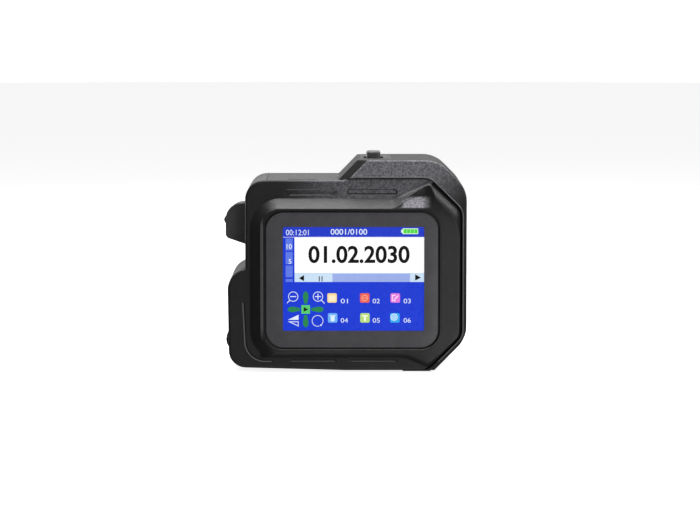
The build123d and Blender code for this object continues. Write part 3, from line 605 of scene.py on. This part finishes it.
# Painted highlights: light lines along the lower walls of the grooves below the screen and along the edges of
# the slots above it
PAINTED_EDGE_HIGHLIGHTS = [
    band(span, (z - 0.3, z + 0.3), 1, 0.15)
    for span, z in (
        (LOW_GROOVES[0], 5.1),
        (LOW_GROOVES[1], 5.1),
        ((-28.9, -6.0), 89.85),
        ((-27.5, -6.5), 87.3),
        ((2.4, 24.5), 89.85),
        ((2.4, 24.5), 87.3),
    )
]
SHADED_EDGES = [
    band(x, z, 0.2, 0.15)
    for x, z in (
        ((1.4, 25.6), (87.5, 88.1)),
        ((1.4, 25.6), (89.75, 90.2)),
        ((1.2, 1.8), (87.8, 89.9)),
        ((25.2, 25.8), (87.8, 89.9)),
        ((-4.4, -3.8), (87.6, 89.8)),
    )
]
# Painted highlight: thin light line on the rim's left edge beside the screen recess
RIM_EDGE_HIGHLIGHT = [
    (ALONG_X, -41.6, -41.3),
    (ALONG_X, -39.9, -40.2),
    (ALONG_Z, 13, 24),
    (ALONG_Z, 82, 70),
    (ALONG_Y, -37.2, -37.7),
]
SHELL, PAINTED_LINE_GRAIN = MATERIALS["abs_shell"], dict(grain=0.1, spread=0.1)
texture_and_painted_light_zones(SHELL, [FLANGE_ZONE], (0.19, 0.188, 0.207), 0.62)
texture_and_painted_light_zones(SHELL, [PATCH_ZONE], (0.34, 0.33, 0.365), 0.55, grain=1.0, spread=0.6)
texture_and_painted_light_zones(SHELL, PAINTED_EDGE_HIGHLIGHTS, (0.3, 0.298, 0.305), 0.5, **PAINTED_LINE_GRAIN)
texture_and_painted_light_zones(SHELL, [RIM_EDGE_HIGHLIGHT], (0.12, 0.12, 0.123), 0.5, **PAINTED_LINE_GRAIN)
texture_and_painted_light_zones(SHELL, SHADED_EDGES, (0.02, 0.02, 0.021), 0.6, **PAINTED_LINE_GRAIN)
texture_and_painted_light_zones(SHELL, [EAR_FACET_HIGHLIGHT], (0.24, 0.237, 0.252), 0.5, spread=0.35)
texture_and_painted_light_zones(MATERIALS["abs_hood"], [HOOD_ZONE], (0.25, 0.247, 0.27), 0.62)


def dress(obj, record_slot, material, *nodes):
    """Give a Blender piece its material and its body, and hide the CAD nodes it stands for."""
    obj.data.materials.clear()
    obj.data.materials.append(material)
    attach(obj, ROOT)
    if nodes:
        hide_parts(*nodes)


def dress_cad():
    """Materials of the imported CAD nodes, by their record slot unless they have a look of their own."""
    for part in frame["record"]["subparts"]:
        data = frame["nodes"][part["node"]].data
        data.materials.clear()
        data.materials.append(MATERIALS[OWN_LOOK.get(part["node"], part["material_slot"])])
        for polygon in data.polygons:
            polygon.material_index = 0


def bead(name, path, radius, depth):
    """Rounded lip that runs along a closed path."""
    loops = [
        with_depth(inward(path, radius * math.cos(a)), depth + radius * math.sin(a))
        for a in np.linspace(0, 2 * math.pi, 10, endpoint=False)
    ]
    lip = new_object(name, *bridge(loops))
    finish_mesh(lip)
    # the lip's light colour is a painted highlight
    dress(lip, "abs_black", MATERIALS["abs_lip_highlight"])
    return lip


def make_hood_lip():
    """Thin lip of the hood along its seam with the front shell, from the hood's front end to the hip."""
    seam = inward(resample(shell_path(), 900), -0.42)
    lip = bead("hood_seam_lip", seam, 0.3, HOOD_FRONT_Y + 0.02)
    in_front = (-40.0, -30.0)
    left = box_mesh("lip_cut_left", (-70.0, 6.0), in_front, (-5.0, 110.0))
    cut(lip, left, box_mesh("lip_cut_low", (-70.0, 46.0), in_front, (-5.0, 40.0)))


def make_groove_edge():
    """Painted highlight on the outer edge of the curved groove at the lower left: a flat light strip just
    proud of the flange.
    """
    edge_offset, half_width = 0.35, 0.25

    def side(reach):
        bend = arc((BEND_X, BEND_Z), reach, np.radians(np.linspace(180, 270, 24)))
        return [(BEND_X - reach - STEM_SHIFT, STEM_TOP_Z), *bend, (FOOT_END_X, BEND_Z - reach)]

    middle = BEND_RADIUS + edge_offset
    outline = side(middle + half_width) + side(middle - half_width)[::-1]
    count = len(outline)
    verts = [(x, y, z) for y in (FLANGE_Y + 0.2, FLANGE_Y - 0.12) for x, z in outline]
    faces = [
        (low + i, low + i + 1, low + count - 2 - i, low + count - 1 - i)
        for low in (0, count)
        for i in range(count // 2 - 1)
    ]
    faces += ring_faces(0, count, count)
    strip = new_object("groove_edge", verts, faces)
    finish_mesh(strip)
    dress(strip, "abs_black", MATERIALS["abs_lip_highlight"])


# Screen -------------------------------------------------------------------------------------------
def make_lens():
    """Glass in two pieces: the dark printed border and the clear window over the lit screen."""
    outer = resample(rounded_path(*panel_corners(**LENS)), 240)
    loops = [with_depth(outer, LENS_BACK), with_depth(outer, LENS_FRONT + LENS_EDGE)]
    for angle in np.linspace(0.3, math.pi / 2, 5):
        path = inward(outer, LENS_EDGE * (1 - math.cos(angle)))
        loops.append(with_depth(path, LENS_FRONT + LENS_EDGE * (1 - math.sin(angle))))
    opening = ray_points(outer, VIEW)
    loops += [with_depth(opening, LENS_FRONT), with_depth(opening, LENS_BACK)]
    border = new_object("lens_border", *bridge(loops))
    finish_mesh(border)
    dress(border, "lens", MATERIALS["lens"], "display_lens")
    pane = resample(rounded_path(*panel_corners(**VIEW)), 120)
    rings = [with_depth(pane, LENS_BACK), with_depth(pane, LENS_FRONT)]
    rings.append(with_depth(inward(pane, 0.12), LENS_FRONT))
    count = len(pane)
    faces = [tuple(range(count))[::-1], tuple(range(2 * count, 3 * count))]
    faces += [face for low in (0, count) for face in ring_faces(low, low + count, count)]
    clear = new_object("lens_window", np.vstack(rings), faces)
    finish_mesh(clear)
    dress(clear, "lens", WINDOW)


class Ink:
    """Thin closed shapes of one colour lying on the screen, gathered into one piece."""

    def __init__(self, name, colour, level, strength=1.0):
        self.name, self.material = name, lit("lit_" + name, colour, strength)
        self.front = PICTURE_Y - LAYER_STEP * level
        self.back = self.front + LAYER_THICKNESS
        self.verts, self.faces = [], []

    def shape(self, points, hole=None):
        """Filled outline, or the band between an outline and a hole with as many points."""
        start, count = len(self.verts), len(points)
        rings = [points, points] if hole is None else [points, points, hole, hole]
        depths = [self.back, self.front, self.front, self.back]
        for ring, depth in zip(rings, depths):
            self.verts += [(x, depth, z) for x, z in ring]
        for k in range(len(rings) if hole else 1):
            self.faces += ring_faces(start + k * count, start + ((k + 1) % len(rings)) * count, count)
        if hole is None:
            front = start + count
            self.faces += [tuple(range(start, front))[::-1], tuple(range(front, front + count))]

    def bar(self, x, z, radius=0.0):
        corners, radii = panel_corners(x, z, radius)
        self.shape([tuple(p) for p in rounded_path(corners, radii)])

    def ring(self, centre, radius, line, start=0, stop=360):
        steps = np.radians(np.linspace(start, stop, 40, endpoint=stop - start < 360))
        outer, inner = arc(centre, radius, steps), arc(centre, radius - line, steps)
        if stop - start < 360:
            self.shape(outer + inner[::-1])
        else:
            self.shape(outer, inner)

    def line(self, start, end, width):
        side = np.subtract(end, start)[::-1] * (1, -1) / math.dist(start, end) * width / 2
        corners = ((start, side), (end, side), (end, -side), (start, -side))
        self.shape([tuple(np.add(point, offset)) for point, offset in corners])

    def text(self, words, x, z, bold=0.0):
        """Digits fitted between two X and two Z values."""
        data = bpy.data.curves.new("words", "FONT")
        data.body, data.extrude, data.offset = words, 0.5, bold
        letters = bpy.data.objects.new("words", data)
        bpy.context.collection.objects.link(letters)
        mesh = bpy.data.meshes.new_from_object(letters.evaluated_get(bpy.context.evaluated_depsgraph_get()))
        spots = np.array([v.co for v in mesh.vertices])
        low, high = spots.min(0), spots.max(0)
        share = (spots - low) / np.maximum(high - low, 1e-9)
        start = len(self.verts)
        for a, b, depth in share:
            y = self.front if depth > 0.5 else self.back
            self.verts.append((x[0] + a * (x[1] - x[0]), y, z[0] + b * (z[1] - z[0])))
        self.faces += [tuple(start + i for i in polygon.vertices) for polygon in mesh.polygons]
        bpy.data.objects.remove(letters)

    def place(self):
        """Make the piece, with the picture shrunk to what the lens border leaves open."""
        middle = np.array([sum(SCREEN["x"]) / 2, 0, sum(SCREEN["z"]) / 2])
        verts = (np.array(self.verts) - middle) * (PICTURE_SCALE, 1, PICTURE_SCALE) + middle
        obj = new_object("screen_" + self.name, verts, self.faces)
        finish_mesh(obj)
        dress(obj, "screen", self.material)


LEFT, RIGHT, FIELD_LEFT = -31.5, 40.2, -25.4  # edges of the picture and of the white field
ARROW = [(0.8, 2.9), (1.0, 4.4), (1.45, 6.2), (1.35, 7.6), (0.8, 8.7)]  # right side of a move arrow
ICON_SIZE = 4.8
ICONS = {
    "folder": ((-8.9, 34.1), (0.95, 0.72, 0.32), (1.0, 0.86, 0.6)),
    "add": ((7.6, 34.1), (0.85, 0.13, 0.08), (1.0, 0.45, 0.36)),
    "edit": ((23.0, 34.1), (0.8, 0.2, 0.75), (1.0, 0.75, 0.98)),
    "bin": ((-8.6, 24.0), (0.16, 0.45, 0.95), (0.75, 0.9, 1.0)),
    "print": ((7.7, 24.0), (0.5, 0.74, 0.2), (0.95, 1.0, 0.8)),
    "setup": ((22.8, 24.0), (0.04, 0.4, 0.9), (0.7, 0.88, 1.0)),
}


def title_bar(lines):
    """Blue bar with a clock and a counter."""
    blue = Ink("title_bar", (0.017, 0.045, 0.6), 1)
    blue.bar((LEFT, RIGHT), (67.3, 72.8))
    lines.text("00:12:01", (-29.7, -18.2), (68.2, 71.0))
    lines.text("0001/0100", (-7.2, 11.2), (68.5, 71.4), bold=0.01)
    return [blue]


def ruler(lines):
    """Column of pale blocks with two numbers."""
    pale = Ink("ruler_blocks", (0.12, 0.2, 0.82), 1)
    for z in ((44.6, 46.1), (47.0, 52.9), (53.6, 59.8), (60.5, 66.6)):
        pale.bar((-29.9, -26.3), z)
    lines.text("10", (-29.4, -26.7), (61.3, 63.8), bold=0.01)
    lines.text("5", (-28.4, -27.0), (53.8, 56.2), bold=0.01)
    return [pale]


def print_field():
    """White field with a date, and the row under it that scrolls it."""
    white = Ink("print_field", (1.0, 0.99, 1.0), 1, 1.12)
    white.bar((FIELD_LEFT, RIGHT), (49.2, 67.1))
    white.bar((LEFT, RIGHT), (67.15, 67.4))
    mist = Ink("scroll_row", (0.62, 0.78, 0.95), 1)
    mist.bar((FIELD_LEFT, RIGHT), (44.6, 49.16))
    trough = Ink("scroll_bar", (0.34, 0.44, 0.83), 2)
    trough.bar((-6.3, 32.8), (44.6, 48.8))
    black = Ink("field_digits", (0.004, 0.004, 0.004), 2, 0.2)
    black.text("01.02.2030", (-18.4, 32.6), (54.1, 62.9), bold=0.025)
    black.shape([(-23.2, 46.5), (-20.6, 48.1), (-20.6, 45.0)])
    black.shape([(35.4, 48.5), (38.3, 46.8), (35.4, 45.3)])
    for x in (-13.2, -11.8):
        black.bar((x, x + 0.5), (44.9, 47.5))
    return [white, mist, trough, black]


def zoom_and_turn(lines):
    """Two magnifiers, a mirror mark and a turn mark, drawn in white lines."""
    for centre, tail in (((-26.1, 37.2), (-29.2, 33.9)), ((-13.6, 37.2), (-10.3, 33.7))):
        lines.ring(centre, 2.55, 0.34)
        lines.bar((centre[0] - 1.5, centre[0] + 1.5), (centre[1] - 0.22, centre[1] + 0.22))
        reach = np.subtract(tail, centre) / math.dist(tail, centre) * 2.5
        lines.line(tuple(np.add(centre, reach)), tail, 0.4)
    for z in ((35.7, 36.96), (37.44, 38.7)):
        lines.bar((-13.82, -13.38), z)
    lines.shape([(-28.8, 25.4), (-23.4, 28.0), (-23.4, 25.4)])
    lines.shape(
        [(-28.8, 24.6), (-23.4, 24.6), (-23.4, 22.0)], [(-27.2, 24.25), (-23.75, 24.25), (-23.75, 22.6)]
    )
    lines.ring((-13.8, 24.9), 2.9, 0.3, -40, 290)
    lines.bar((-12.5, -11.7), (22.3, 23.1), 0.2)


def move_keys():
    """Four green arrows round a key with a triangle."""
    green = Ink("move_arrows", (0.02, 0.24, 0.08), 2)
    spots = [(-a, b) for a, b in ARROW] + [(0, 9.2)] + ARROW[::-1]
    for dx, dz in ((0, 1), (0, -1), (1, 0), (-1, 0)):
        green.shape([(-19.8 + a * dz + b * dx, 30.7 + b * dz - a * dx) for a, b in spots])
    key = Ink("play_key", (0.1, 0.62, 0.16), 2)
    key.bar((-22.0, -17.6), (28.5, 32.9), 0.3)
    play = Ink("play_mark", (0.004, 0.03, 0.01), 3, 0.3)
    play.shape([(-20.8, 31.9), (-18.5, 30.7), (-20.8, 29.5)])
    return [green, key, play]


def battery_gauge():
    battery = Ink("battery_shell", (0.75, 1.0, 0.72), 2)
    battery.bar((29.0, 36.9), (68.8, 71.7), 0.3)
    battery.bar((28.3, 29.3), (69.5, 71.0), 0.2)
    charge = Ink("battery_charge", (0.08, 0.72, 0.06), 3)
    for x in np.arange(4) * 1.8 + 29.5:
        charge.bar((x, x + 1.65), (69.2, 71.3))
    return [battery, charge]


def draw_mark(sign, name, x, z):
    """Simple mark round the middle of an icon."""
    if name == "folder":
        sign.bar((x - 1.7, x + 1.7), (z - 1.6, z + 1.3), 0.4)
    elif name == "add":
        sign.ring((x, z), 1.6, 0.35)
        sign.bar((x - 0.9, x + 0.9), (z - 0.2, z + 0.2))
    elif name == "edit":
        sign.bar((x - 1.7, x - 1.2), (z - 1.6, z + 1.6))
        sign.bar((x - 1.1, x + 0.2), (z - 1.6, z - 1.1))
        sign.bar((x - 1.1, x + 0.2), (z + 1.1, z + 1.6))
        sign.line((x - 0.4, z - 0.7), (x + 1.5, z + 1.2), 0.6)
    elif name == "bin":
        sign.shape([(x - 1.1, z + 0.9), (x + 1.1, z + 0.9), (x + 0.9, z - 1.7), (x - 0.9, z - 1.7)])
        sign.bar((x - 1.5, x + 1.5), (z + 1.05, z + 1.45))
    elif name == "print":
        sign.bar((x - 1.4, x + 1.4), (z + 0.7, z + 1.4))
        sign.bar((x - 0.5, x + 0.5), (z - 1.6, z + 0.6))
    else:
        sign.ring((x - 0.4, z + 0.4), 1.8, 0.5)
        sign.ring((x - 0.4, z + 0.4), 0.9, 0.5)


def place_icons():
    for name, ((x, z), colour, bright) in ICONS.items():
        tile = Ink("icon_" + name, colour, 2)
        tile.bar((x, x + ICON_SIZE), (z, z + ICON_SIZE), 0.8)
        sign = Ink("mark_" + name, bright, 3)
        draw_mark(sign, name, x + ICON_SIZE / 2, z + ICON_SIZE / 2)
        tile.place()
        sign.place()


def make_screen():
    """Generic menu of a date coder: clock, counter, print field, ruler, zoom and move keys, six icons."""
    lines = Ink("white_lines", (0.8, 0.88, 1.0), 2)
    behind = [*title_bar(lines), *ruler(lines), *print_field(), lines]
    zoom_and_turn(lines)
    number = 0
    for z in (33.8, 24.0):
        for x in (-2.1, 14.0, 29.6):
            number += 1
            lines.text(f"0{number}", (x, x + 3.6), (z, z + 2.3))
    in_front = [*move_keys(), *battery_gauge()]
    place_icons()
    for ink in behind + in_front:
        ink.place()


# Camera and light ---------------------------------------------------------------------------------
CAMERA_X = 2.6
STAGE_REACH = 6.0  # metres
LIGHTS = {  # place in metres, two sizes, power
    "overhead": ((0.0, 0.0, 0.9), (0.7, 0.5), 8),
    "back_top": ((0.05, 1.1, 0.55), (1.4, 0.5), 3.5),
    "upper_left": ((-0.38, -0.1, 0.88), (0.2, 0.2), 0.5),
    "upper_right": ((0.66, -0.08, 0.66), (0.3, 0.3), 1.9),
    "right_far": ((0.9, -0.7, 0.5), (0.5, 0.5), 0.8),
    "front_strip": ((-0.15, -1.2, 0.55), (0.5, 0.12), 0.3),
    "low_right": ((0.5, -1.0, -0.25), (0.6, 0.5), 2.8),
    "floor_bounce": ((0.1, -0.4, -0.5), (0.9, 0.5), 0.9),
    "back_fill": ((-0.9, 1.1, 0.25), (0.6, 0.6), 5),
}
LIGHTS_AIM = (0, 0, 0.05)


def make_camera():
    """Long lens in front of the screen, looking slightly down."""
    data = bpy.data.cameras.new("camera")
    camera = bpy.data.objects.new("camera", data)
    bpy.context.collection.objects.link(camera)
    camera.location = Vector((CAMERA_X, -1538.0, 178.5)) * MM
    target = Vector((CAMERA_X, RIM_Y, 55.6)) * MM
    camera.rotation_euler = (target - camera.location).to_track_quat("-Z", "Y").to_euler()
    data.sensor_width = 36.0
    data.lens = 157.9
    data.clip_start, data.clip_end = 0.05, 30.0
    bpy.context.scene.camera = camera


def area_light(name, place, size, power):
    data = bpy.data.lights.new(name, "AREA")
    data.shape = "RECTANGLE"
    data.size, data.size_y = size
    data.energy = power
    lamp = bpy.data.objects.new(name, data)
    bpy.context.collection.objects.link(lamp)
    lamp.location = place
    lamp.rotation_euler = (Vector(LIGHTS_AIM) - Vector(place)).to_track_quat("-Z", "Y").to_euler()
    lamp.visible_camera = False


def stage_piece(name, mesh_maker, glow, paint):
    """Glowing surface that only the camera sees, behind or under the object."""
    mesh = bpy.data.meshes.new(name)
    work = bmesh.new()
    mesh_maker(work)
    work.to_mesh(mesh)
    work.free()
    obj = bpy.data.objects.new(name, mesh)
    bpy.context.collection.objects.link(obj)
    material = bpy.data.materials.new(name + "_paint")
    material.use_nodes = True
    shader = material.node_tree.nodes["Principled BSDF"]
    shader.inputs["Base Color"].default_value = (paint, paint, paint, 1)
    shader.inputs["Roughness"].default_value = 0.9
    shader.inputs["Specular IOR Level"].default_value = 0.0
    shader.inputs["Emission Color"].default_value = (1, 1, 1, 1)
    shader.inputs["Emission Strength"].default_value = glow
    mesh.materials.append(material)
    obj.visible_diffuse = False
    obj.visible_glossy = False
    obj.visible_transmission = True
    obj.visible_shadow = False
    return obj


def make_studio():
    world = bpy.data.worlds.new("world")
    bpy.context.scene.world = world
    world.use_nodes = True
    background = world.node_tree.nodes["Background"]
    background.inputs["Color"].default_value = (1.0, 1.0, 1.0, 1)
    background.inputs["Strength"].default_value = 0.08
    for name, (place, size, power) in LIGHTS.items():
        area_light(name, place, size, power)
    bpy.context.scene.view_settings.view_transform = "Standard"

    def disc(work):
        bmesh.ops.create_circle(work, cap_ends=True, segments=96, radius=STAGE_REACH)

    def dome(work):
        bmesh.ops.create_icosphere(work, subdivisions=5, radius=STAGE_REACH)

    floor = stage_piece("floor", disc, 0.86, 0.8)
    floor.location.z = -0.2 * MM
    stage_piece("backdrop", dome, 1.25, 0.0)


dress_cad()
make_front_shell()
make_hood_lip()
make_groove_edge()
make_lens()
make_screen()
make_camera()
make_studio()
